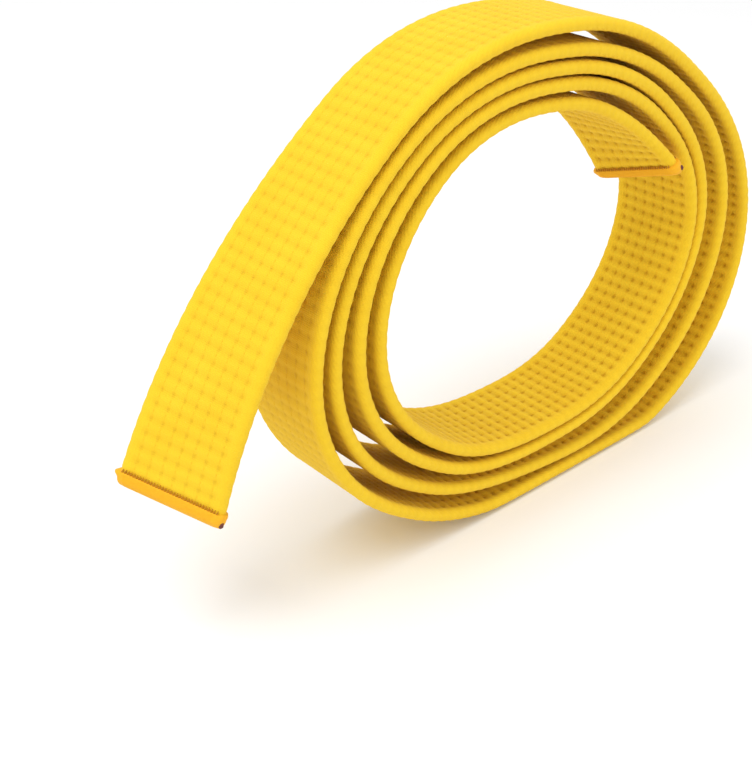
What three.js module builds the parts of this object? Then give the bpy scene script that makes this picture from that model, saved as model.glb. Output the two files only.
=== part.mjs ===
import * as THREE from 'three';

// A martial arts belt: a flat fabric sleeve over two padding layers, quilted together by seven
// rows of thread and bound with thread at both ends. It is wound into a loose oval coil that
// stands on its rim. Millimetres, +Z up, the coil's axis along Y. The free outer end hangs off
// at -X, and the inner end stands off inside the coil at the upper right.
// The origin is on the table, under the middle of the whole outline.

// ---- the belt, laid flat ----
const BELT_LENGTH = 2600;
const BELT_WIDTH = 40;
const BELT_THICKNESS = 5;
const COVER_WALL = 0.7;
const CLEARANCE = 0.3;

const STITCH_ROWS = 7;
const ROW_MARGIN = 5.6;
const THREAD_WIDTH = 0.8;
const THREAD_THICKNESS = 0.3;

const BINDING_DEPTH = 4.5;
const BINDING_WALL = 0.6;
const SEAM_WIDTH = 0.8;
const SEAM_THICKNESS = 0.4;

// ---- the coil, as it stands ----
// Distances of the innermost turn's middle line from the axis, every 45 degrees from +X.
const INNER_RADII = [73, 65, 68.5, 81, 83, 68.5, 60, 67];
const TURN_CLEARANCE = 0.8;

// Where turns stand apart: the first turn that lies outside the opening, the way the opening
// faces in degrees, its width, and how sharply it closes on both sides.
const OPENINGS = [
  { turn: 1, facing: 15, width: 6, sharpness: 4 },
  { turn: 1, facing: 180, width: 4, sharpness: 4 },
  { turn: 2, facing: 330, width: 12, sharpness: 3.5 },
  { turn: 2, facing: 200, width: 5, sharpness: 8 },
  { turn: 3, facing: 335, width: 15, sharpness: 9 },
  { turn: 3, facing: 270, width: 5, sharpness: 4 },
  { turn: 3, facing: 195, width: 3, sharpness: 5 },
  { turn: 4, facing: 75, width: 3, sharpness: 5 },
];
const PRESSED_FLAT = 6;
const STEP_ANGLE = 20;
const FACE_SEGMENTS = 3;
const COIL_ENDS_AT = 1575;

// The two free ends: how far each one reaches from the coil, and the angles in degrees through
// which it bends, twists about its own length and slants across the coil on the way.
const TAIL = { length: 142, bend: 30, twist: 25, slant: 0, steps: 12 };
const FLAP = { length: 54, bend: 30, twist: -10, slant: 15, steps: 8 };

const radians = THREE.MathUtils.degToRad;
const ACROSS = new THREE.Vector3(0, 1, 0);

// ---- the belt's route ----

// A smooth closed curve through evenly spaced compass values.
function compassValue(values, degrees) {
  const count = values.length;
  const place = THREE.MathUtils.euclideanModulo(degrees, 360) / (360 / count);
  const first = Math.floor(place);
  const t = place - first;
  const [a, b, c, d] = [-1, 0, 1, 2].map((k) => values[(first + k + count) % count]);
  const straight = 2 * b + (c - a) * t;
  const curved = (2 * a - 5 * b + 4 * c - d) * t ** 2 + (3 * b - a - 3 * c + d) * t ** 3;
  return (straight + curved) / 2;
}

// The middle line's distance from the axis. The angle keeps counting, turn after turn. Where the
// oval runs aslant to the radius, each turn takes up more of it.
function coilRadius(degrees) {
  const oval = compassValue(INNER_RADII, degrees);
  const change = compassValue(INNER_RADII, degrees + 1) - compassValue(INNER_RADII, degrees - 1);
  const aslant = Math.hypot(1, change / radians(2) / oval);
  const pitch = (BELT_THICKNESS + TURN_CLEARANCE) * aslant;
  let radius = oval + (pitch * degrees) / 360;
  for (const { turn, facing, width, sharpness } of OPENINGS) {
    const away = degrees - facing;
    if (Math.round(away / 360) < turn) continue;
    radius += width * (Math.cos(radians(away) / 2) ** 2) ** sharpness;
  }
  return radius;
}

// How far the outermost turn would reach below the axis if nothing pressed on it.
function coilDepth() {
  let depth = 0;
  for (let degrees = COIL_ENDS_AT - 360; degrees < COIL_ENDS_AT; degrees += 1) {
    depth = Math.max(depth, -coilRadius(degrees) * Math.sin(radians(degrees)));
  }
  return depth;
}
const AXIS_HEIGHT = coilDepth() + BELT_THICKNESS / 2 - PRESSED_FLAT;

// A point of the coil's middle line. The table presses the lowest stretch flat.
function coilPoint(degrees) {
  const radius = coilRadius(degrees);
  const x = radius * Math.cos(radians(degrees));
  const z = AXIS_HEIGHT + radius * Math.sin(radians(degrees));
  return new THREE.Vector3(x, 0, Math.max(z, BELT_THICKNESS / 2));
}

// The coil's direction of travel, towards the belt's outer end.
function coilHeading(degrees) {
  const travel = coilPoint(degrees + 1).sub(coilPoint(degrees - 1));
  return Math.atan2(travel.z, travel.x);
}

// A station is a point of the middle line with three directions: along the belt towards its
// outer end, across it towards +Y, and out of its outer face.
function station(point, heading, twist = 0, slant = 0) {
  const along = new THREE.Vector3(Math.cos(heading), 0, Math.sin(heading));
  const out = new THREE.Vector3(Math.sin(heading), 0, -Math.cos(heading));
  const across = ACROSS.clone().applyAxisAngle(out, -slant);
  along.applyAxisAngle(out, -slant);
  across.applyAxisAngle(along, -twist);
  out.applyAxisAngle(along, -twist);
  return { point: point.clone(), along, across, out };
}

// The same station moved straight along the belt.
function moved(from, distance) {
  const point = from.point.clone().addScaledVector(from.along, distance);
  return { ...from, point };
}

// The last stretch of each end is straight, and carries the binding and its seam.
const END_ZONE = BINDING_DEPTH + CLEARANCE + SEAM_WIDTH + CLEARANCE;

// The stations of a free end, from the coil out to its straight last stretch. The way is +1
// towards the belt's outer end and -1 towards its inner one.
function freeEnd(end, leavesAt, way) {
  const stations = [];
  const fineSteps = 10 * end.steps;
  const stride = (way * (end.length - END_ZONE)) / fineSteps;
  const point = coilPoint(leavesAt);
  for (let i = 1; i <= fineSteps; i += 1) {
    const share = i / fineSteps;
    const heading = coilHeading(leavesAt) + way * radians(end.bend) * share;
    const twist = radians(end.twist) * share ** 1.5;
    const slant = radians(end.slant) * share ** 2;
    const here = station(point, heading, twist, slant);
    point.addScaledVector(here.along, stride);
    if (i % 10 === 0) stations.push({ ...here, point: point.clone() });
  }
  return stations;
}

// The angle at which the coil has to start for the belt to have its full length.
function coilStart() {
  let left = BELT_LENGTH - TAIL.length - FLAP.length;
  let degrees = COIL_ENDS_AT;
  while (left > 0) {
    left -= coilPoint(degrees).distanceTo(coilPoint(degrees - 1));
    degrees -= 1;
  }
  return degrees;
}

// All stations from the inner end to the outer end, without the straight last stretches.
function beltRoute() {
  const start = coilStart();
  const coil = [];
  for (let degrees = COIL_ENDS_AT; degrees > start + STEP_ANGLE / 2; degrees -= STEP_ANGLE) {
    coil.unshift(station(coilPoint(degrees), coilHeading(degrees)));
  }
  coil.unshift(station(coilPoint(start), coilHeading(start)));
  return [...freeEnd(FLAP, start, -1).reverse(), ...coil, ...freeEnd(TAIL, COIL_ENDS_AT, 1)];
}

const route = beltRoute();
const innerMouth = route[0];
const outerMouth = route.at(-1);

// Stations for a piece that runs inside the belt and stops short of both ends.
function fullLength(shortBy) {
  return [
    moved(innerMouth, shortBy - END_ZONE),
    ...route,
    moved(outerMouth, END_ZONE - shortBy),
  ];
}

// ---- outlines across the belt, as [across, out] pairs going round the belt's direction ----

// Evenly spaced points over a flat face, from one side to the other.
function facePoints(from, to, out, segments) {
  const points = [];
  for (let i = 0; i <= segments; i += 1) points.push([from + ((to - from) * i) / segments, out]);
  return points;
}

// A flat strap's outline with rounded edges.
function strapOutline(width, thickness) {
  const w = width / 2;
  const t = thickness / 2;
  const upper = [
    [w, 0],
    [w - 0.28 * t, 0.6 * t],
    ...facePoints(w - t, t - w, t, FACE_SEGMENTS),
    [0.28 * t - w, 0.6 * t],
    [-w, 0],
  ];
  const lower = upper.slice(1, -1).map(([across, out]) => [-across, -out]);
  return [...upper, ...lower].reverse();
}

// A rectangle at a place across the belt.
function barOutline(width, thickness, across, out, segments) {
  const w = width / 2;
  const t = thickness / 2;
  const upper = facePoints(across + w, across - w, out + t, segments);
  const lower = facePoints(across - w, across + w, out - t, segments);
  return [...upper, ...lower].reverse();
}

// ---- solids from rings of points ----

class RingSolid {
  positions = [];
  faces = [];

  ring(at, outline) {
    const first = this.positions.length / 3;
    for (const [across, out] of outline) {
      const corner = at.point.clone();
      corner.addScaledVector(at.across, across).addScaledVector(at.out, out);
      this.positions.push(...corner.toArray());
    }
    return { first, outline };
  }

  // The strip of faces between two rings. It faces out when the second ring lies further along.
  // All faces fold along the same diagonal, so that nested pieces twist alike.
  join(one, two, facesOut = true) {
    const count = one.outline.length;
    for (let k = 0; k < count; k += 1) {
      const next = (k + 1) % count;
      const [a, b] = [one.first + k, one.first + next];
      const [d, c] = [two.first + k, two.first + next];
      const rising = one.outline[next][0] > one.outline[k][0];
      const faces = rising ? [a, b, c, a, c, d] : [a, b, d, b, c, d];
      if (!facesOut) faces.reverse();
      this.faces.push(...faces);
    }
  }

  // A flat lid over one ring, facing along the belt or back.
  lid(ring, facesAlong) {
    for (let k = 1; k < ring.outline.length - 1; k += 1) {
      const [one, two] = facesAlong ? [k, k + 1] : [k + 1, k];
      this.faces.push(ring.first, ring.first + one, ring.first + two);
    }
  }

  geometry() {
    const geometry = new THREE.BufferGeometry();
    geometry.setAttribute('position', new THREE.Float32BufferAttribute(this.positions, 3));
    geometry.setIndex(this.faces);
    geometry.computeVertexNormals();
    return geometry;
  }
}

// A bar that fills an outline all the way.
function solidBar(stations, outline) {
  const solid = new RingSolid();
  const rings = stations.map((at) => solid.ring(at, outline));
  for (let i = 1; i < rings.length; i += 1) solid.join(rings[i - 1], rings[i]);
  solid.lid(rings[0], false);
  solid.lid(rings.at(-1), true);
  return solid.geometry();
}

// A sleeve between two outlines, open at both ends.
function sleeve(stations, outerOutline, innerOutline) {
  const solid = new RingSolid();
  const outer = stations.map((at) => solid.ring(at, outerOutline));
  const inner = stations.map((at) => solid.ring(at, innerOutline));
  for (let i = 1; i < stations.length; i += 1) {
    solid.join(outer[i - 1], outer[i]);
    solid.join(inner[i - 1], inner[i], false);
  }
  solid.join(inner[0], outer[0]);
  solid.join(outer.at(-1), inner.at(-1));
  return solid.geometry();
}

// A cap that closes one end and takes the belt in at its mouth. The way is +1 where the closed
// end faces along the belt and -1 where it faces back.
function cap(mouth, depth, way, outerOutline, innerOutline, wall) {
  const solid = new RingSolid();
  const floor = moved(mouth, way * (depth - wall));
  const end = moved(mouth, way * depth);
  const rings = {
    outerMouth: solid.ring(mouth, outerOutline),
    outerEnd: solid.ring(end, outerOutline),
    innerMouth: solid.ring(mouth, innerOutline),
    innerFloor: solid.ring(floor, innerOutline),
  };
  const forward = way > 0;
  solid.join(rings.outerMouth, rings.outerEnd, forward);
  solid.join(rings.innerFloor, rings.innerMouth, forward);
  solid.join(rings.innerMouth, rings.outerMouth, forward);
  solid.lid(rings.outerEnd, forward);
  solid.lid(rings.innerFloor, !forward);
  return solid.geometry();
}

// ---- the pieces ----

const pieces = [];

function piece(name, geometry, color, roughness) {
  const material = new THREE.MeshStandardMaterial({ color, roughness, metalness: 0 });
  const mesh = new THREE.Mesh(geometry, material);
  mesh.name = name;
  pieces.push(mesh);
}

const COTTON_YELLOW = 0xeec42c;
const PADDING_WHITE = 0xece6d6;
const THREAD_YELLOW = 0xe2ae1c;
const BINDING_ORANGE = 0xe8a21e;

// The sleeve of the belt. It ends inside the binding's end wall.
const endShort = BINDING_WALL + CLEARANCE;
const hollowWidth = BELT_WIDTH - 2 * COVER_WALL;
const hollowThickness = BELT_THICKNESS - 2 * COVER_WALL;
const coverOutline = strapOutline(BELT_WIDTH, BELT_THICKNESS);
const hollowOutline = strapOutline(hollowWidth, hollowThickness);
piece('cover', sleeve(fullLength(endShort), coverOutline, hollowOutline), COTTON_YELLOW, 0.9);

// Two padding layers lie against the faces of the hollow, with the stitching between them.
const coreOuterFace = hollowThickness / 2 - CLEARANCE;
const coreInnerFace = THREAD_THICKNESS / 2 + CLEARANCE;
const coreThickness = coreOuterFace - coreInnerFace;
const coreMiddle = (coreOuterFace + coreInnerFace) / 2;
const coreWidth = BELT_WIDTH - BELT_THICKNESS;
const coreStations = fullLength(endShort + CLEARANCE);
const outerCore = barOutline(coreWidth, coreThickness, 0, coreMiddle, FACE_SEGMENTS);
const innerCore = barOutline(coreWidth, coreThickness, 0, -coreMiddle, FACE_SEGMENTS);
piece('core_layer_outer', solidBar(coreStations, outerCore), PADDING_WHITE, 0.95);
piece('core_layer_inner', solidBar(coreStations, innerCore), PADDING_WHITE, 0.95);

// Rows of quilting thread, spread evenly over the width, numbered from the -Y edge.
const rowSpan = BELT_WIDTH - 2 * ROW_MARGIN;
for (let row = 0; row < STITCH_ROWS; row += 1) {
  const place = (row / (STITCH_ROWS - 1) - 0.5) * rowSpan;
  const thread = barOutline(THREAD_WIDTH, THREAD_THICKNESS, place, 0, 1);
  piece(`quilting_thread_${row + 1}`, solidBar(coreStations, thread), THREAD_YELLOW, 0.7);
}

// The bindings over the two ends, and the seam that runs round the belt beside each one.
const gapOutline = strapOutline(BELT_WIDTH + 2 * CLEARANCE, BELT_THICKNESS + 2 * CLEARANCE);
function around(thickness) {
  const grow = 2 * (CLEARANCE + thickness);
  return strapOutline(BELT_WIDTH + grow, BELT_THICKNESS + grow);
}
for (const [where, zoneStart, way] of [['inner', innerMouth, -1], ['outer', outerMouth, 1]]) {
  const bindingMouth = moved(zoneStart, way * (END_ZONE - BINDING_DEPTH));
  const binding = cap(
    bindingMouth, BINDING_DEPTH, way, around(BINDING_WALL), gapOutline, BINDING_WALL,
  );
  piece(`${where}_end_binding`, binding, BINDING_ORANGE, 0.8);
  const seamEdges = [CLEARANCE, CLEARANCE + SEAM_WIDTH].map((d) => moved(zoneStart, way * d));
  if (way < 0) seamEdges.reverse();
  const seam = sleeve(seamEdges, around(SEAM_THICKNESS), gapOutline);
  piece(`${where}_end_seam`, seam, BINDING_ORANGE, 0.7);
}

// The outline's middle is brought over the origin.
const group = new THREE.Group();
group.add(...pieces);
const outline = new THREE.Box3().setFromObject(group, true);
const middle = outline.getCenter(new THREE.Vector3());
for (const mesh of pieces) mesh.position.set(-middle.x, -middle.y, 0);

export default group;
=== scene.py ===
import math

import bpy
import numpy as np
from mathutils import Matrix, Vector


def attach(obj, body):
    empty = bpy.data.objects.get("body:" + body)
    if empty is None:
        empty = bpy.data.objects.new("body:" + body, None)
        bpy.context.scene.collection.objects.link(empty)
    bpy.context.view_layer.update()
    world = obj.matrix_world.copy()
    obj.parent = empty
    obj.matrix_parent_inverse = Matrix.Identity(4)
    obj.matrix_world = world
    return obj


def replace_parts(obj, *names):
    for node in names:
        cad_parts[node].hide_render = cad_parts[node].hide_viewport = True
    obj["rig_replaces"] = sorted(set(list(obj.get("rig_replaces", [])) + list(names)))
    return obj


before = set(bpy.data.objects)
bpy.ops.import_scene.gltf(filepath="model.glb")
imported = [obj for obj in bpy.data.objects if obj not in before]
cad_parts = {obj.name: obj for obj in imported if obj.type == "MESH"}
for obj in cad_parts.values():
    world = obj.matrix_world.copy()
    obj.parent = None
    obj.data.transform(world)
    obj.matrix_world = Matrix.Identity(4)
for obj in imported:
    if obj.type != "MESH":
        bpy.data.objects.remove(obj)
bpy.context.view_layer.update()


# ---- Cover ----
# The belt is one long flat sleeve of golden yellow cotton, filled with padding and quilted
# lengthwise. It is wound into a loose oval coil that stands on its rim. The outer end hangs
# free, and the inner end stands off inside the coil. The strap is made flat, one stitch long,
# repeated to its full length, and then laid along the coil.

MM = 0.001
BELT_LENGTH = 2600.0
BELT_WIDTH = 40.0
HALF_THICK = 2.5
# The innermost turn's radius at eight compass points, from +X by way of +Z.
INNER_RADII = np.array([73, 65, 68.5, 81, 83, 68.5, 60, 67])
COMPASS_POINTS = len(INNER_RADII)
FULL_TURN = 360
TURN_PITCH = 5.8
# Where turns stand apart: first turn outside the opening, facing in degrees, width and
# sharpness.
OPENINGS = (
    (1, 15, 6.0, 4.0),
    (1, 180, 4.0, 4.0),
    (2, 330, 12.0, 3.5),
    (2, 200, 5.0, 8.0),
    (3, 335, 15.0, 9.0),
    (3, 270, 5.0, 4.0),
    (3, 195, 3.0, 5.0),
    (4, 75, 3.0, 5.0),
)
# The table presses the lowest stretch flat, with a soft bend at both of its ends.
PRESSED_FLAT = 6.0
FLAT_SOFTNESS = 1.6
COIL_ENDS_AT = 1575
AXIS_X = 22.96
COIL_Y = 2.81
STRAIGHT_END = 5.9
TAIL = {"length": 142.0, "bend": 30.0, "twist": 25.0, "slant": 0.0}
FLAP = {"length": 54.0, "bend": 30.0, "twist": -10.0, "slant": 15.0}
TWIST_GROWTH = 1.5
# The strap wanders a little across the coil: size, length and start of each slow wave.
WANDERS = ((0.35, 171.0, 0.0), (0.25, 67.0, 1.0))


def compass_value(degrees):
    """The innermost radius at any angle, on a smooth curve through the compass points."""
    place = np.mod(degrees, FULL_TURN) / (FULL_TURN / COMPASS_POINTS)
    first = np.floor(place).astype(int)
    t = place - first
    a, b, c, d = (INNER_RADII[(first + k) % COMPASS_POINTS] for k in (-1, 0, 1, 2))
    straight = 2 * b + (c - a) * t
    curved = (2 * a - 5 * b + 4 * c - d) * t**2 + (3 * b - a - 3 * c + d) * t**3
    return (straight + curved) / 2


def coil_radius(degrees):
    degrees = np.asarray(degrees, float)
    oval = compass_value(degrees)
    change = compass_value(degrees + 1) - compass_value(degrees - 1)
    aslant = np.hypot(1.0, change / math.radians(2) / oval)
    radius = oval + TURN_PITCH * aslant * degrees / FULL_TURN
    for turn, facing, width, sharpness in OPENINGS:
        away = degrees - facing
        swell = width * (np.cos(np.radians(away) / 2) ** 2) ** sharpness
        radius = radius + np.where(np.floor(away / FULL_TURN + 0.5) >= turn, swell, 0.0)
    return radius


last_turn = np.arange(COIL_ENDS_AT - FULL_TURN, COIL_ENDS_AT)
reach_down = -coil_radius(last_turn) * np.sin(np.radians(last_turn))
AXIS_HEIGHT = reach_down.max() + HALF_THICK - PRESSED_FLAT


def coil_point(degrees):
    """Points on the middle of the strap, with the coil's axis at x = 0."""
    radius = coil_radius(degrees)
    x = radius * np.cos(np.radians(degrees))
    above = AXIS_HEIGHT + radius * np.sin(np.radians(degrees)) - HALF_THICK
    z = HALF_THICK + (above + np.hypot(above, FLAT_SOFTNESS)) / 2
    return np.stack([x, np.zeros_like(x), z], axis=-1)


def coil_heading(degrees):
    """The direction of travel along the coil, in the plane of the coil."""
    travel = coil_point(np.asarray(degrees) + 1.0) - coil_point(np.asarray(degrees) - 1.0)
    return np.arctan2(travel[..., 2], travel[..., 0])


def free_end(end, leaves_at, way):
    """The way of a free end in 1 mm steps: points and their three directions."""
    steps = int(end["length"] - STRAIGHT_END)
    point = Vector(coil_point(leaves_at))
    start = float(coil_heading(leaves_at))
    found = []
    for i in range(1, int(end["length"]) + 1):
        share = min(i / steps, 1.0)
        heading = start + way * math.radians(end["bend"]) * share
        along = Vector((math.cos(heading), 0, math.sin(heading)))
        out = Vector((math.sin(heading), 0, -math.cos(heading)))
        slanted = Matrix.Rotation(-math.radians(end["slant"]) * share**2, 3, out)
        along = slanted @ along
        across = slanted @ Vector((0, 1, 0))
        twisted = Matrix.Rotation(-math.radians(end["twist"]) * share**TWIST_GROWTH, 3, along)
        point = point + way * along
        found.append((*point, *along, *(twisted @ across), *(twisted @ out)))
    return found


coil_length = BELT_LENGTH - TAIL["length"] - FLAP["length"]
fine = np.arange(COIL_ENDS_AT, 0, -1.0)
walked = np.linalg.norm(np.diff(coil_point(fine), axis=0), axis=1).cumsum()
coil_start = fine[1 + int(np.searchsorted(walked, coil_length))]
degrees = np.arange(coil_start, COIL_ENDS_AT + 0.5, 1.0)
headings = coil_heading(degrees)
nothing = np.zeros_like(headings)
coil_rows = np.hstack([
    coil_point(degrees),
    np.stack([np.cos(headings), nothing, np.sin(headings)], axis=1),
    np.stack([nothing, nothing + 1, nothing], axis=1),
    np.stack([np.sin(headings), nothing, -np.cos(headings)], axis=1),
])
route = np.vstack([
    free_end(FLAP, coil_start, -1)[::-1],
    coil_rows,
    free_end(TAIL, COIL_ENDS_AT, 1),
])
steps_along = np.linalg.norm(np.diff(route[:, :3], axis=0), axis=1)
distance = np.concatenate([[0.0], steps_along.cumsum()])
distance *= BELT_LENGTH / distance[-1]


def lay_along_route(flat):
    """Carries points of the flat belt, as along, across and out in metres, onto the coil."""
    flat = np.asarray(flat, float) / MM
    at = np.clip(flat[:, 0], 0, BELT_LENGTH)
    beyond = flat[:, 0] - at
    here = np.stack([np.interp(at, distance, route[:, i]) for i in range(12)], axis=1)
    place, along, across, out = here[:, :3], here[:, 3:6], here[:, 6:9], here[:, 9:]
    drift = sum(size * np.sin(at / reach + start) for size, reach, start in WANDERS)
    place = place + along * beyond[:, None] + across * (flat[:, 1] + drift)[:, None]
    place = place + out * flat[:, 2:3]
    place += (AXIS_X, COIL_Y, 0.0)
    return place * MM


def deselect_everything():
    if bpy.context.object and bpy.context.object.mode != "OBJECT":
        bpy.ops.object.mode_set(mode="OBJECT")
    bpy.ops.object.select_all(action="DESELECT")


def rolled_tube(name, steps, sides, spot):
    """A grid rolled into an open tube. spot gives each place: step along, side around."""
    deselect_everything()
    bpy.ops.mesh.primitive_grid_add(x_subdivisions=steps, y_subdivisions=sides, size=1)
    tube = bpy.context.object
    tube.name = name
    tube.data.name = name
    for vertex in tube.data.vertices:
        step = round((vertex.co.x + 0.5) * steps)
        side = round((vertex.co.y + 0.5) * sides) % sides
        vertex.co = spot(step, side)
    bpy.ops.object.mode_set(mode="EDIT")
    bpy.ops.mesh.select_all(action="SELECT")
    bpy.ops.mesh.remove_doubles(threshold=0.000002)
    bpy.ops.object.mode_set(mode="OBJECT")
    return tube


def repeated(piece, count, pitch):
    """The piece repeated along the belt and welded to its neighbours."""
    array = piece.modifiers.new("repeat", "ARRAY")
    array.count = count
    array.use_relative_offset = False
    array.use_constant_offset = True
    array.constant_offset_displace = (pitch, 0, 0)
    array.use_merge_vertices = True
    array.merge_threshold = 0.00001
    bpy.context.view_layer.objects.active = piece
    bpy.ops.object.modifier_apply(modifier=array.name)


def close_open_ends(piece):
    bpy.context.view_layer.objects.active = piece
    bpy.ops.object.mode_set(mode="EDIT")
    bpy.ops.mesh.select_all(action="DESELECT")
    bpy.ops.mesh.select_mode(type="EDGE")
    bpy.ops.mesh.select_non_manifold(extend=False)
    bpy.ops.mesh.fill_holes(sides=0)
    bpy.ops.mesh.select_all(action="SELECT")
    bpy.ops.mesh.normals_make_consistent(inside=False)
    bpy.ops.object.mode_set(mode="OBJECT")


def flat_places(piece):
    places = np.zeros(len(piece.data.vertices) * 3, np.float32)
    piece.data.vertices.foreach_get("co", places)
    return places.reshape(-1, 3)


def finish_on_route(piece, material, slot_name, *nodes):
    """Keeps the flat place as the cloth's own map, lays the piece on the coil and registers it."""
    flat = flat_places(piece)
    cloth_map = piece.data.uv_layers.new(name="ClothMap")
    corners = np.zeros(len(piece.data.loops), np.int32)
    piece.data.loops.foreach_get("vertex_index", corners)
    cloth_map.data.foreach_set("uv", flat[corners][:, :2].astype(np.float32).ravel())
    side = piece.data.attributes.new("side", "FLOAT", "POINT")
    side.data.foreach_set("value", np.clip(flat[:, 2] / (HALF_THICK * MM), -1, 1))
    piece.data.vertices.foreach_set("co", lay_along_route(flat).astype(np.float32).ravel())
    piece.data.update()
    deselect_everything()
    piece.select_set(True)
    bpy.context.view_layer.objects.active = piece
    bpy.ops.object.shade_smooth()
    piece.data.materials.clear()
    piece.data.materials.append(material)
    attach(piece, "root")
    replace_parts(piece, *nodes)


STITCH_PITCH = 5.0
STITCHES = 520
STEPS_PER_STITCH = 3
ROW_SPACING = 4.8
ROWS = [ROW_SPACING * k for k in range(-3, 4)]
OUTER_ROW = ROWS[-1]
FACE_STEP = ROW_SPACING / 3
FACE_STEPS = 18
FIELD_EDGE = 16.0
QUILTED_HALF = 16.5
EDGE_SIDES = 6
GROOVE_DEPTH = 0.14
VALLEY_DEPTH = 0.42
RIM_VALLEY_SHARE = 0.35
RIM_WAVE = 0.14
IN_ROW = 0.99
CUT_EDGE = 1.2
# The needle holes are shallow on the outer face (1) and deep on the inner face (-1).
HOLE_DEPTH = {1: 0.15, -1: 0.6}

flat_half = BELT_WIDTH / 2 - HALF_THICK
face_spots = [flat_half, FIELD_EDGE]
face_spots += [OUTER_ROW - FACE_STEP * k for k in range(FACE_STEPS + 1)]
face_spots += [-FIELD_EDGE, -flat_half]


def outline_point(side):
    """The strap's plain outline, round from the +Y edge over the outer face and back."""
    per_face = len(face_spots)
    half_way = per_face + EDGE_SIDES - 1
    face, rest = divmod(side, half_way)
    sign = 1 if face == 0 else -1
    if rest < per_face:
        return sign * face_spots[rest], sign * HALF_THICK
    turn = math.pi * (rest - per_face + 1) / EDGE_SIDES
    across = -flat_half - HALF_THICK * math.sin(turn)
    return sign * across, sign * HALF_THICK * math.cos(turn)


OUTLINE_SIDES = 2 * (len(face_spots) + EDGE_SIDES - 1)


def quilted_spot(step, side):
    """A place on the padded strap, which sinks into the rows and most of all at the needle."""
    across, out = outline_point(side)
    sign = 1 if out > 0 else -1
    at_needle = step % STEPS_PER_STITCH == 0
    wave = 0.5 + 0.5 * math.cos(2 * math.pi * step / STEPS_PER_STITCH)
    row_wave = 0.5 + 0.5 * math.cos(2 * math.pi * across / ROW_SPACING)
    in_field = abs(across) < QUILTED_HALF
    sink = VALLEY_DEPTH * wave * (1.0 if in_field else RIM_VALLEY_SHARE)
    if in_field:
        sink += GROOVE_DEPTH * row_wave
    else:
        across -= math.copysign(RIM_WAVE * wave, across)
    if at_needle and in_field and row_wave > IN_ROW:
        sink += HOLE_DEPTH[sign]
    out -= math.copysign(min(sink, abs(out)), out)
    return Vector((step * STITCH_PITCH / STEPS_PER_STITCH * MM, across * MM, out * MM))


class Signal:
    """A shader socket that takes part in sums as a number would."""

    def __init__(self, tree, socket):
        self.tree = tree
        self.socket = socket

    def math(self, operation, *others, clamp=False):
        values = {i + 1: other for i, other in enumerate(others)}
        values[0] = self
        kept = {"operation": operation, "use_clamp": clamp}
        return self.node("ShaderNodeMath", kept, values)

    def node(self, kind, settings, inputs, output=0):
        """Any other node: its settings first, then the values or links of its sockets."""
        made = self.tree.nodes.new(kind)
        for key, value in settings.items():
            setattr(made, key, value)
        for key, value in inputs.items():
            if isinstance(value, Signal):
                self.tree.links.new(value.socket, made.inputs[key])
            else:
                made.inputs[key].default_value = value
        return Signal(self.tree, made.outputs[output])

    def __add__(self, other):
        return self.math("ADD", other)

    def __sub__(self, other):
        return self.math("SUBTRACT", other)

    def __mul__(self, other):
        return self.math("MULTIPLY", other)

    def __rsub__(self, other):
        return (self * -1.0) + other

    __radd__ = __add__
    __rmul__ = __mul__


SPECULAR = 0.25
SHEEN_ROUGHNESS = 0.5
SHEEN_TINT = (1.0, 0.8, 0.35, 1.0)


def new_material(name, roughness, sheen):
    """A cotton-like material, its shader and the cloth's own map."""
    material = bpy.data.materials.new(name)
    material.use_nodes = True
    tree = material.node_tree
    shader = tree.nodes["Principled BSDF"]
    shader.inputs["Roughness"].default_value = roughness
    shader.inputs["Specular IOR Level"].default_value = SPECULAR
    shader.inputs["Sheen Weight"].default_value = sheen
    shader.inputs["Sheen Roughness"].default_value = SHEEN_ROUGHNESS
    shader.inputs["Sheen Tint"].default_value = SHEEN_TINT
    place = tree.nodes.new("ShaderNodeUVMap")
    place.uv_map = "ClothMap"
    return material, shader, Signal(tree, place.outputs["UV"])


def connect(signal, shader, socket_name):
    signal.tree.links.new(signal.socket, shader.inputs[socket_name])


def mixed(share, one, two):
    """Two colours mixed. Sockets 0, 6 and 7 are the share and the two colours, 2 the result."""
    kept = {"data_type": "RGBA"}
    return share.node("ShaderNodeMix", kept, {0: share, 6: one, 7: two}, output=2)


def noise(place, scale, detail=2.0):
    values = {"Vector": place, "Scale": scale, "Detail": detail}
    return place.node("ShaderNodeTexNoise", {}, values)


def bump(height, strength, distance):
    values = {"Strength": strength, "Distance": distance, "Height": height}
    return height.node("ShaderNodeBump", {}, values)


# Golden cotton twill: fine yarns across and along, with painted shade (a deeper, more orange
# yellow) down in the needle holes, cross ribs and rows, and slow random changes of tone over the
# length.
YELLOW = (0.86, 0.555, 0.016, 1.0)
# DEEP_YELLOW is the colour of the painted shade in the holes, ribs and rows, and of the darker
# fuzz.
DEEP_YELLOW = (0.54, 0.26, 0.002, 1.0)
PALE_YELLOW = (0.90, 0.62, 0.024, 1.0)
# Added before the remainder is taken, so that the rows below zero count the same way.
WHOLE_ROWS = 100
STITCHED_HALF = 16.2
HOLE_TIGHTNESS_ALONG = 12.0
HOLE_TIGHTNESS_ACROSS = 28.0
ROW_TIGHTNESS = 5.0
# How strongly painted shade darkens the holes, ribs and rows: on the outer face, and more on the
# inner face.
HOLE_PAINTED_SHADE = 0.12
HOLE_PAINTED_SHADE_INSIDE = 0.38
RIB_PAINTED_SHADE = 0.14
RIB_PAINTED_SHADE_INSIDE = 0.28
RIM_RIB_SHARE = 0.25
ROW_PAINTED_SHADE = 0.05
FUZZ_TINT = 0.12
SHADE_SCALE = 55.0
SHADE_CONTRAST = 1.5
SHADE_START = 0.45
FUZZ_SCALE = 1500.0
FUZZ_HEIGHT = 0.7
TWILL_ALONG = 2400.0
TWILL_ACROSS = 5200.0
TWILL_HEIGHT = 0.3
WEFT_ALONG = 9800.0
WEFT_HEIGHT = 0.22
HOLE_SINK = 2.0

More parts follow.
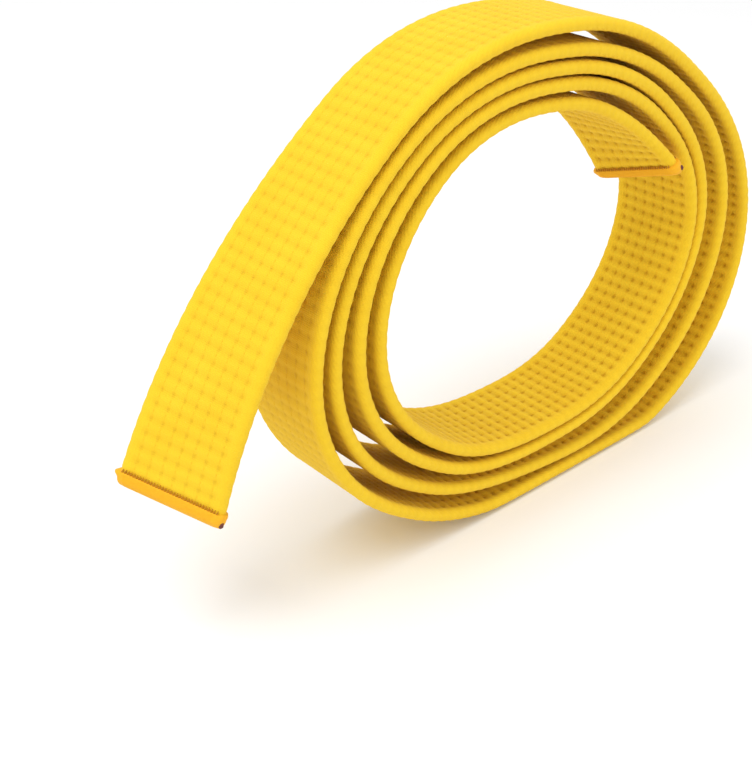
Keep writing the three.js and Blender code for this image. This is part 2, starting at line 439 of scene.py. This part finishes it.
cotton, cotton_shader, cloth_place = new_material(
    "golden_cotton", roughness=0.86, sheen=0.12
)
parts_of_place = cloth_place.tree.nodes.new("ShaderNodeSeparateXYZ")
cloth_place.tree.links.new(cloth_place.socket, parts_of_place.inputs[0])
along = Signal(cloth_place.tree, parts_of_place.outputs[0])
across = Signal(cloth_place.tree, parts_of_place.outputs[1])
side_node = cloth_place.tree.nodes.new("ShaderNodeAttribute")
side_node.attribute_name = "side"
inner_face = 0.5 - Signal(cloth_place.tree, side_node.outputs["Fac"]) * 0.5

# How far a point is from its needle hole, as a share of the stitch and of the row's spacing.
stitch_phase = (along * (1 / (STITCH_PITCH * MM)) + 0.5).math("FRACT") - 0.5
row_phase = (across * (1 / (ROW_SPACING * MM)) + (WHOLE_ROWS + 0.5)).math("FRACT") - 0.5
in_rows = across.math("ABSOLUTE").math("LESS_THAN", STITCHED_HALF * MM)
long_way = stitch_phase * stitch_phase * HOLE_TIGHTNESS_ALONG
cross_way = row_phase * row_phase * HOLE_TIGHTNESS_ACROSS
from_hole = (long_way + cross_way).math("SQRT")
hole = (1.0 - from_hole).math("MAXIMUM", 0.0) * in_rows
from_row = row_phase.math("ABSOLUTE") * ROW_TIGHTNESS
row_line = (1.0 - from_row).math("MAXIMUM", 0.0) * in_rows

# Painted shade: the holes and cross ribs are darkened towards a deeper yellow, and more so on the
# inner face.
painted_hole_shade = hole * (inner_face * HOLE_PAINTED_SHADE_INSIDE + HOLE_PAINTED_SHADE)
rib_reach = in_rows * (1 - RIM_RIB_SHARE) + RIM_RIB_SHARE
painted_rib_shade = (stitch_phase.math("ABSOLUTE") * -2.0 + 1.0) * rib_reach
painted_rib_shade = painted_rib_shade * (inner_face * RIB_PAINTED_SHADE_INSIDE + RIB_PAINTED_SHADE)
fuzz = noise(cloth_place, scale=FUZZ_SCALE)
shade_share = noise(cloth_place, scale=SHADE_SCALE, detail=3.0) * SHADE_CONTRAST - SHADE_START
shade_share = shade_share.math("MAXIMUM", 0.0, clamp=True)
colour = mixed(shade_share, YELLOW, PALE_YELLOW)
# The mix towards the deep yellow is painted shade in the holes, ribs and rows, plus the fuzz's
# random real tone.
painted_shade_and_fuzz = painted_hole_shade + painted_rib_shade + row_line * ROW_PAINTED_SHADE + fuzz * FUZZ_TINT
colour = mixed(painted_shade_and_fuzz.math("MINIMUM", 1.0), colour, DEEP_YELLOW)
connect(colour, cotton_shader, "Base Color")

# The yarns: a slanting twill line, the cross yarns and the fuzz between them.
warp = (along * TWILL_ALONG + across * TWILL_ACROSS).math("SINE")
weft = (along * WEFT_ALONG).math("SINE")
yarns = warp * TWILL_HEIGHT + weft * WEFT_HEIGHT + fuzz * FUZZ_HEIGHT - hole * HOLE_SINK
connect(bump(yarns, strength=0.5, distance=0.22 * MM), cotton_shader, "Normal")

cover = rolled_tube("belt_cover", STEPS_PER_STITCH, OUTLINE_SIDES, quilted_spot)
repeated(cover, STITCHES, STITCH_PITCH * MM)
close_open_ends(cover)
for vertex in cover.data.vertices:
    vertex.co.x = min(max(vertex.co.x, CUT_EDGE * MM), (BELT_LENGTH - CUT_EDGE) * MM)
finish_on_route(
    cover, cotton, "cover_cloth", "cover", "core_layer_outer", "core_layer_inner"
)


# ---- Quilting threads ----
# Seven rows of lockstitch run the whole length through cover and padding. On each face every
# stitch is one short arc of thread that dives into a needle hole at both ends. One stitch is
# made for both faces and repeated along its row.

THREAD_RADIUS = 0.17
THREAD_END = 0.1
STITCH_STEPS = 4
THREAD_SIDES = 5
SURFACE_IN_ROW = HALF_THICK - GROOVE_DEPTH
STITCH_SUNK = 0.62
STITCH_RISE = 0.5
STITCH_START = 0.08
STITCH_SHARE = 0.84
THREAD_YELLOW = (0.86, 0.54, 0.016, 1.0)
THREAD_DEEP = (0.79, 0.46, 0.01, 1.0)

stitch_thread, thread_shader, thread_place = new_material(
    "stitch_thread", roughness=0.8, sheen=0.1
)
strand = noise(thread_place, scale=2600.0)
connect(mixed(strand, THREAD_YELLOW, THREAD_DEEP), thread_shader, "Base Color")
connect(bump(strand, strength=0.4, distance=0.1 * MM), thread_shader, "Normal")


def swelling(share, end):
    """How full a thread is along its way: least at both ends, and full in the middle."""
    return math.sin(math.pi * (end + (1 - 2 * end) * share))


def stitch_spot(across, sign):
    """One arc of thread in the row at this place across, on the outer or the inner face."""

    def spot(step, side):
        share = step / STITCH_STEPS
        height = SURFACE_IN_ROW - STITCH_SUNK + STITCH_RISE * math.sin(math.pi * share)
        turn = sign * 2 * math.pi * side / THREAD_SIDES
        radius = THREAD_RADIUS * swelling(share, THREAD_END)
        x = STITCH_PITCH * (STITCH_START + STITCH_SHARE * share)
        y = across + radius * math.sin(turn)
        return Vector((x * MM, y * MM, (sign * height + radius * math.cos(turn)) * MM))

    return spot


def joined(parts, name):
    deselect_everything()
    for part in parts:
        part.select_set(True)
    bpy.context.view_layer.objects.active = parts[0]
    bpy.ops.object.join()
    parts[0].name = name
    parts[0].data.name = name
    return parts[0]


for row, place_across in enumerate(ROWS, start=1):
    name = f"stitch_row_{row}"
    faces = [
        rolled_tube(f"{name}_{face}", STITCH_STEPS, THREAD_SIDES, stitch_spot(place_across, face))
        for face in (1, -1)
    ]
    for face in faces:
        close_open_ends(face)
    stitches = joined(faces, name)
    for vertex in stitches.data.vertices:
        vertex.co.x += STITCH_PITCH * MM
    repeated(stitches, STITCHES - 2, STITCH_PITCH * MM)
    finish_on_route(stitches, stitch_thread, "quilting_thread", f"quilting_thread_{row}")


# ---- End bindings ----
# Both ends are overlocked: dense orange thread wraps the cut edge, and its far corner sticks out
# as a small ear. A line of short stitches runs beside it, and the thread's tail is knotted off
# at the near corner. Each binding is one rolled cap whose faces carry the wraps as fine ridges.

BINDING_DEPTH = 5.2
BINDING_OVERHANG = 0.4
BINDING_STEPS = 12
RIDGES_PER_FACE = 56
RIDGE_HEIGHT = 0.16
CORNER_SIDES = 8
CORNER_FULLNESS = 0.5
BINDING_SIDES = 4 * RIDGES_PER_FACE + 2 * CORNER_SIDES
ROUNDED_FROM = 0.55
EDGE_THICKNESS = 0.12
LEAST_LIFT = 0.25
MOST_LIFT = 0.45
LIFT_START = 0.25
LIFT_BLUNTNESS = 0.7
FACE_DROPS_FROM = 0.9
CORNER_BLUNTNESS = 0.8
# The ear is small at the near corner (1) and stands out at the far corner (-1).
EAR_SIZE = {1: 0.3, -1: 1.6}
EAR_PLACE = 0.2
EAR_REACH = 0.16
CORNER_TAPER = 0.05

ORANGE = (0.90, 0.47, 0.012, 1.0)
DEEP_ORANGE = (0.82, 0.37, 0.006, 1.0)
binding_thread, binding_shader, binding_place = new_material(
    "binding_thread", roughness=0.7, sheen=0.12
)
wrap = noise(binding_place, scale=900.0, detail=3.0)
connect(mixed(wrap, ORANGE, DEEP_ORANGE), binding_shader, "Base Color")
connect(bump(wrap, strength=0.45, distance=0.15 * MM), binding_shader, "Normal")

# The seam thread's dark brown is partly the thread's own colour and partly painted shade along the
# seam line.
SEAM_BROWN = (0.62, 0.27, 0.008, 1.0)
SEAM_DEEP = (0.36, 0.13, 0.004, 1.0)
seam_thread, seam_shader, seam_place = new_material(
    "seam_thread", roughness=0.75, sheen=0.2
)
twine = noise(seam_place, scale=2200.0)
connect(mixed(twine, SEAM_BROWN, SEAM_DEEP), seam_shader, "Base Color")


def binding_spot(step, side):
    """A place on the cap: from its mouth on the belt to the rounded end, once round."""
    share = step / BINDING_STEPS
    per_face = 2 * RIDGES_PER_FACE
    half_way = per_face + CORNER_SIDES
    face, rest = divmod(side, half_way)
    sign = 1 if face == 0 else -1
    into_end = max(0.0, (share - ROUNDED_FROM) / (1 - ROUNDED_FROM))
    round_off = math.sqrt(max(0.0, 1.0 - into_end**2))
    rise = math.sin(math.pi * min(1.0, share + LIFT_START)) ** LIFT_BLUNTNESS
    lift = LEAST_LIFT + MOST_LIFT * rise
    thick = (HALF_THICK + lift) * (EDGE_THICKNESS + (1 - EDGE_THICKNESS) * round_off)
    half = BELT_WIDTH / 2 - HALF_THICK
    ear = EAR_SIZE[sign] * math.exp(-((share - EAR_PLACE) / EAR_REACH) ** 2)
    corner = 1.0 - CORNER_TAPER * max(0.0, 2 * share - 1) ** 2
    if rest < per_face:
        across = half * (1 - 2 * rest / per_face)
        out = thick + (RIDGE_HEIGHT if rest % 2 else 0.0)
        out -= thick * max(0.0, abs(across) / half - FACE_DROPS_FROM) / 2
    else:
        turn = math.pi * (rest - per_face) / CORNER_SIDES
        reach = HALF_THICK + CORNER_FULLNESS + ear
        across = -half - reach * math.sin(turn) ** CORNER_BLUNTNESS
        out = thick * math.cos(turn)
    x = share * BINDING_DEPTH
    return Vector((x * MM, sign * corner * across * MM, sign * out * MM))


SEAM_STITCHES = 34
SEAM_HALF = 18.2
SEAM_STITCH_LENGTH = 1.7
SEAM_STITCH_START = -1.3
SEAM_STITCH_RADIUS = 0.32
SEAM_STITCH_END = 0.12
SEAM_LEAN = 0.5
SEAM_HEIGHT = HALF_THICK + 0.1
SEAM_CLIMB = 0.15


def seam_stitch_spot(across, sign):
    """One short stitch from the cloth into the binding's mouth, leaning a little across."""

    def spot(step, side):
        share = step / STITCH_STEPS
        turn = 2 * math.pi * side / THREAD_SIDES
        radius = SEAM_STITCH_RADIUS * swelling(share, SEAM_STITCH_END)
        x = SEAM_STITCH_LENGTH * share + SEAM_STITCH_START
        y = across + SEAM_LEAN * (share - 0.5) + radius * math.sin(turn)
        height = sign * (SEAM_HEIGHT + SEAM_CLIMB * share)
        return Vector((x * MM, y * MM, (height + radius * math.cos(turn)) * MM))

    return spot


def brought_to_end(piece, outer):
    """Moves a piece made from the binding's mouth outwards to the belt's outer or inner end."""
    for vertex in piece.data.vertices:
        x = vertex.co.x + (BELT_LENGTH - BINDING_DEPTH + BINDING_OVERHANG) * MM
        vertex.co.x = x if outer else BELT_LENGTH * MM - x
    if not outer:
        bpy.context.view_layer.objects.active = piece
        bpy.ops.object.mode_set(mode="EDIT")
        bpy.ops.mesh.select_all(action="SELECT")
        bpy.ops.mesh.normals_make_consistent(inside=False)
        bpy.ops.object.mode_set(mode="OBJECT")


KNOT_STEPS = 8
KNOT_SIDES = 10
KNOT_RADIUS = 0.95
KNOT_END = 0.06
KNOT_BLUNTNESS = 0.7
KNOT_LUMP = 0.12
KNOT_LUMPS_ROUND = 3
KNOT_WINDING = 9
KNOT_LENGTH = 2.4
KNOT_FROM_END = 3.0
KNOT_HEIGHT = 1.0
KNOT_PLACE = 0.1 - BELT_WIDTH / 2
KNOT_BROWN = (0.20, 0.06, 0.03, 1.0)
KNOT_DEEP = (0.10, 0.03, 0.04, 1.0)
knot_thread, knot_shader, knot_place = new_material(
    "knot_thread", roughness=0.8, sheen=0.1
)
fibres = noise(knot_place, scale=1800.0)
connect(mixed(fibres, KNOT_BROWN, KNOT_DEEP), knot_shader, "Base Color")


def knot_spot(step, side):
    """A place on the lumpy knot, drawn in at both of its ends."""
    share = step / KNOT_STEPS
    turn = 2 * math.pi * side / KNOT_SIDES
    radius = KNOT_RADIUS * swelling(share, KNOT_END) ** KNOT_BLUNTNESS
    radius *= 1 + KNOT_LUMP * math.sin(KNOT_LUMPS_ROUND * turn + KNOT_WINDING * share)
    x = BINDING_DEPTH - KNOT_FROM_END + KNOT_LENGTH * share
    y = KNOT_PLACE + radius * math.sin(turn)
    return Vector((x * MM, y * MM, (KNOT_HEIGHT + radius * math.cos(turn)) * MM))


for end in ("inner", "outer"):
    binding = rolled_tube(f"{end}_binding", BINDING_STEPS, BINDING_SIDES, binding_spot)
    close_open_ends(binding)
    brought_to_end(binding, end == "outer")
    finish_on_route(binding, binding_thread, "binding_thread", f"{end}_end_binding")
    seam_stitches = []
    for sign in (1, -1):
        for k in range(SEAM_STITCHES):
            place_across = -SEAM_HALF + 2 * SEAM_HALF * k / (SEAM_STITCHES - 1)
            spot = seam_stitch_spot(place_across, sign)
            stitch = rolled_tube("seam_stitch", STITCH_STEPS, THREAD_SIDES, spot)
            close_open_ends(stitch)
            seam_stitches.append(stitch)
    seam = joined(seam_stitches, f"{end}_seam_stitches")
    brought_to_end(seam, end == "outer")
    finish_on_route(seam, seam_thread, "binding_thread", f"{end}_end_seam")
    knot = rolled_tube(f"{end}_corner_knot", KNOT_STEPS, KNOT_SIDES, knot_spot)
    close_open_ends(knot)
    brought_to_end(knot, end == "outer")
    finish_on_route(knot, knot_thread, "binding_thread", f"{end}_end_binding")


# ---- Floor, lights and camera ----
# A plain white studio table with soft light from all round, a large soft box above on the left
# and a weaker one low on the front right.

FLOOR_SIZE = 12
FLOOR_GAP = 0.3 * MM
FLOOR_WHITE = (0.9, 0.9, 0.9, 1.0)
WHITE = (1.0, 1.0, 1.0, 1.0)
STUDIO_LIGHT = 0.9
LIT_POINT = Vector((0.02, 0, 0.09))

deselect_everything()
bpy.ops.mesh.primitive_plane_add(size=FLOOR_SIZE, location=(0, 0, -FLOOR_GAP))
floor = bpy.context.object
floor.name = "floor"
floor_paper, floor_shader, _ = new_material("floor_paper", roughness=0.95, sheen=0.0)
floor_shader.inputs["Base Color"].default_value = FLOOR_WHITE
floor.data.materials.append(floor_paper)

world = bpy.context.scene.world or bpy.data.worlds.new("studio")
bpy.context.scene.world = world
world.use_nodes = True
background = world.node_tree.nodes["Background"]
background.inputs["Color"].default_value = WHITE
background.inputs["Strength"].default_value = STUDIO_LIGHT
bpy.context.scene.view_settings.view_transform = "Standard"


def soft_box(name, place, size, power):
    deselect_everything()
    bpy.ops.object.light_add(type="AREA", location=place)
    box = bpy.context.object
    box.name = name
    box.data.shape = "SQUARE"
    box.data.size = size
    box.data.energy = power
    towards = LIT_POINT - Vector(place)
    box.rotation_euler = towards.to_track_quat("-Z", "Y").to_euler()


soft_box("key_light", place=(-0.6, -0.1, 1.5), size=0.9, power=12)
soft_box("fill_light", place=(0.6, -1.3, 0.8), size=1.2, power=2)

CAMERA_AZIMUTH = -41.0
CAMERA_ELEVATION = 30.3
# The focal length is in the unit of the frame's width.
FOCAL_LENGTH = 1250
FRAME_WIDTH = 752
SENSOR_WIDTH = 36
CAMERA_FROM_AXIS = Vector((-331, -297, 209))
azimuth = math.radians(CAMERA_AZIMUTH)
elevation = math.radians(CAMERA_ELEVATION)
level = math.cos(elevation)
back = Vector((math.sin(azimuth) * level, -math.cos(azimuth) * level, math.sin(elevation)))
camera_place = (Vector((AXIS_X, COIL_Y, AXIS_HEIGHT)) + CAMERA_FROM_AXIS) * MM
deselect_everything()
bpy.ops.object.camera_add(location=camera_place)
camera = bpy.context.object
camera.rotation_euler = back.to_track_quat("Z", "Y").to_euler()
camera.data.sensor_width = SENSOR_WIDTH
camera.data.lens = SENSOR_WIDTH * FOCAL_LENGTH / FRAME_WIDTH
bpy.context.scene.camera = camera
